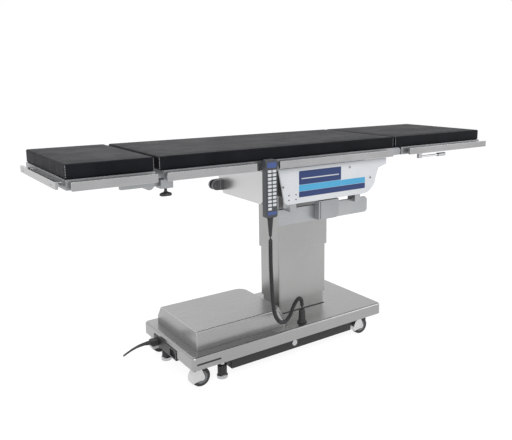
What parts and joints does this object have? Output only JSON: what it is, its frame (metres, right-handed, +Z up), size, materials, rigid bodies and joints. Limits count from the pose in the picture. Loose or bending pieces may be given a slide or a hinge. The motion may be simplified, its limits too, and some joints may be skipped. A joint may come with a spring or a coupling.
{
  "type": "operating table",
  "caption": "Operating table with a sectioned pad top on rails, a tilting saddle, a telescopic column and a wheeled base with floor locks.",
  "frame": {"origin": "on the floor under the middle of the top", "axes": "+X along the top towards the foot end, +Y towards the far long side, +Z up"},
  "size_m": [2.0485, 0.708, 0.9013],
  "materials": {
    "black_vinyl": "matt conductive vinyl over foam",
    "brushed_stainless": "satin, brushed lengthways",
    "white_enamel": "satin enamel",
    "cast_alloy": "satin",
    "black_steel": "matt black paint",
    "polished_steel": "polished",
    "black_rubber": "matt",
    "dark_plastic": "fine moulded grain"
  },
  "bodies": {
    "base": {"base_chassis": "black_steel", "base_cover": "brushed_stainless", "power_housing": "brushed_stainless", "column_foot": "brushed_stainless", "lift_cylinder": "polished_steel", "pump_unit": "cast_alloy", "inlet_panel": "dark_plastic", "mains_connector": "black_rubber", "cord_socket": "black_rubber", "pendant_cord": "black_rubber", "mains_cord": "black_rubber", "mains_coil": "black_rubber", "wall_plug": "black_rubber"},
    "column_middle": {"column_lower_cover": "brushed_stainless"},
    "lift": {"column_upper_cover": "brushed_stainless", "lift_head": "cast_alloy", "lift_rod": "polished_steel"},
    "yoke": {"tilt_yoke": "polished_steel"},
    "saddle": {"saddle_frame": "black_steel", "side_plate_near": "white_enamel", "side_plate_far": "white_enamel", "hanging_beam": "cast_alloy", "clamp_block": "cast_alloy", "saddle_cowl": "brushed_stainless", "slide_drive": "black_steel"},
    "seat": {"seat_frame": "cast_alloy", "seat_pad": "black_vinyl", "seat_rail_near": "polished_steel", "seat_rail_far": "polished_steel"},
    "back": {"back_frame": "cast_alloy", "back_pad": "black_vinyl", "body_pad_flex": "black_vinyl", "back_rail_near": "polished_steel", "back_rail_far": "polished_steel"},
    "head": {"head_frame": "cast_alloy", "head_pad": "black_vinyl", "head_pad_flex": "black_vinyl", "head_rail_near": "polished_steel", "head_rail_far": "polished_steel", "head_rail_end": "polished_steel"},
    "leg": {"leg_frame": "cast_alloy", "leg_pad": "black_vinyl", "leg_rail_near": "polished_steel", "leg_rail_far": "polished_steel"},
    "knob": {"head_clamp_knob": "dark_plastic"},
    "lever": {"leg_release_lever": "polished_steel"},
    "pendant": {"pendant_body": "dark_plastic", "pendant_relief": "black_rubber"},
    "fork_head_near": {"caster_fork_head_near": "polished_steel"},
    "wheel_head_near": {"caster_wheel_head_near": "black_rubber"},
    "lock_head_near": {"locking_foot_head_near": "black_rubber"},
    "fork_head_far": {"caster_fork_head_far": "polished_steel"},
    "wheel_head_far": {"caster_wheel_head_far": "black_rubber"},
    "lock_head_far": {"locking_foot_head_far": "black_rubber"},
    "fork_foot_near": {"caster_fork_foot_near": "polished_steel"},
    "wheel_foot_near": {"caster_wheel_foot_near": "black_rubber"},
    "lock_foot_near": {"locking_foot_foot_near": "black_rubber"},
    "fork_foot_far": {"caster_fork_foot_far": "polished_steel"},
    "wheel_foot_far": {"caster_wheel_foot_far": "black_rubber"},
    "lock_foot_far": {"locking_foot_foot_far": "black_rubber"}
  },
  "joints": [
    {"name": "height", "type": "slide", "parent": "base", "child": "lift", "axis": [0, 0, 1], "range_m": [-0.2, 0.18], "deforming": ["pendant_cord"]},
    {"name": "column_stage", "type": "slide", "parent": "base", "child": "column_middle", "axis": [0, 0, 1], "range_m": [-0.058, 0.0522]},
    {"name": "lateral_tilt", "type": "hinge", "parent": "lift", "child": "yoke", "pos_m": [0.0335, 0, 0.775], "axis": [1, 0, 0], "range_deg": [-20, 20]},
    {"name": "long_tilt", "type": "hinge", "parent": "yoke", "child": "saddle", "pos_m": [0.0335, 0, 0.775], "axis": [0, -1, 0], "range_deg": [-25, 25]},
    {"name": "top_slide", "type": "slide", "parent": "saddle", "child": "seat", "axis": [1, 0, 0], "range_m": [-0.22, 0.22]},
    {"name": "back_lift", "type": "hinge", "parent": "seat", "child": "back", "pos_m": [-0.27, 0, 0.8353], "axis": [0, 1, 0], "range_deg": [-15, 75], "deforming": ["body_pad_flex"]},
    {"name": "head_tilt", "type": "hinge", "parent": "back", "child": "head", "pos_m": [-0.733, 0, 0.8073], "axis": [0, 1, 0], "range_deg": [-90, 30], "deforming": ["head_pad_flex"]},
    {"name": "leg_drop", "type": "hinge", "parent": "seat", "child": "leg", "pos_m": [0.43, 0, 0.8353], "axis": [0, 1, 0], "range_deg": [0, 90]},
    {"name": "head_knob_turn", "type": "hinge", "parent": "back", "child": "knob", "pos_m": [-0.669, -0.232, 0.79], "axis": [0, 0, 1], "range_deg": [0, 180]},
    {"name": "leg_lever_swing", "type": "hinge", "parent": "leg", "child": "lever", "pos_m": [0.6, -0.222, 0.8], "axis": [0, 0, 1], "range_deg": [0, 35]},
    {"name": "pendant_unclip", "type": "slide", "parent": "seat", "child": "pendant", "axis": [0, -1, 0], "range_m": [0, 0.12]},
    {"name": "swivel_head_near", "type": "hinge", "parent": "base", "child": "fork_head_near", "pos_m": [-0.522, -0.184, 0.08], "axis": [0, 0, 1], "continuous": true},
    {"name": "roll_head_near", "type": "hinge", "parent": "fork_head_near", "child": "wheel_head_near", "pos_m": [-0.537, -0.184, 0.0395], "axis": [0, 1, 0], "continuous": true},
    {"name": "floor_lock_head_near", "type": "slide", "parent": "base", "child": "lock_head_near", "axis": [0, 0, 1], "range_m": [0, 0.012]},
    {"name": "swivel_head_far", "type": "hinge", "parent": "base", "child": "fork_head_far", "pos_m": [-0.522, 0.184, 0.08], "axis": [0, 0, 1], "continuous": true},
    {"name": "roll_head_far", "type": "hinge", "parent": "fork_head_far", "child": "wheel_head_far", "pos_m": [-0.537, 0.184, 0.0395], "axis": [0, 1, 0], "continuous": true},
    {"name": "floor_lock_head_far", "type": "slide", "parent": "base", "child": "lock_head_far", "axis": [0, 0, 1], "range_m": [0, 0.012]},
    {"name": "swivel_foot_near", "type": "hinge", "parent": "base", "child": "fork_foot_near", "pos_m": [0.285, -0.184, 0.08], "axis": [0, 0, 1], "continuous": true},
    {"name": "roll_foot_near", "type": "hinge", "parent": "fork_foot_near", "child": "wheel_foot_near", "pos_m": [0.27, -0.184, 0.0395], "axis": [0, 1, 0], "continuous": true},
    {"name": "floor_lock_foot_near", "type": "slide", "parent": "base", "child": "lock_foot_near", "axis": [0, 0, 1], "range_m": [0, 0.012]},
    {"name": "swivel_foot_far", "type": "hinge", "parent": "base", "child": "fork_foot_far", "pos_m": [0.285, 0.184, 0.08], "axis": [0, 0, 1], "continuous": true},
    {"name": "roll_foot_far", "type": "hinge", "parent": "fork_foot_far", "child": "wheel_foot_far", "pos_m": [0.27, 0.184, 0.0395], "axis": [0, 1, 0], "continuous": true},
    {"name": "floor_lock_foot_far", "type": "slide", "parent": "base", "child": "lock_foot_far", "axis": [0, 0, 1], "range_m": [0, 0.012]}
  ],
  "couplings": [
    {"joint": "column_stage", "follows": "height", "ratio": 0.29}
  ]
}
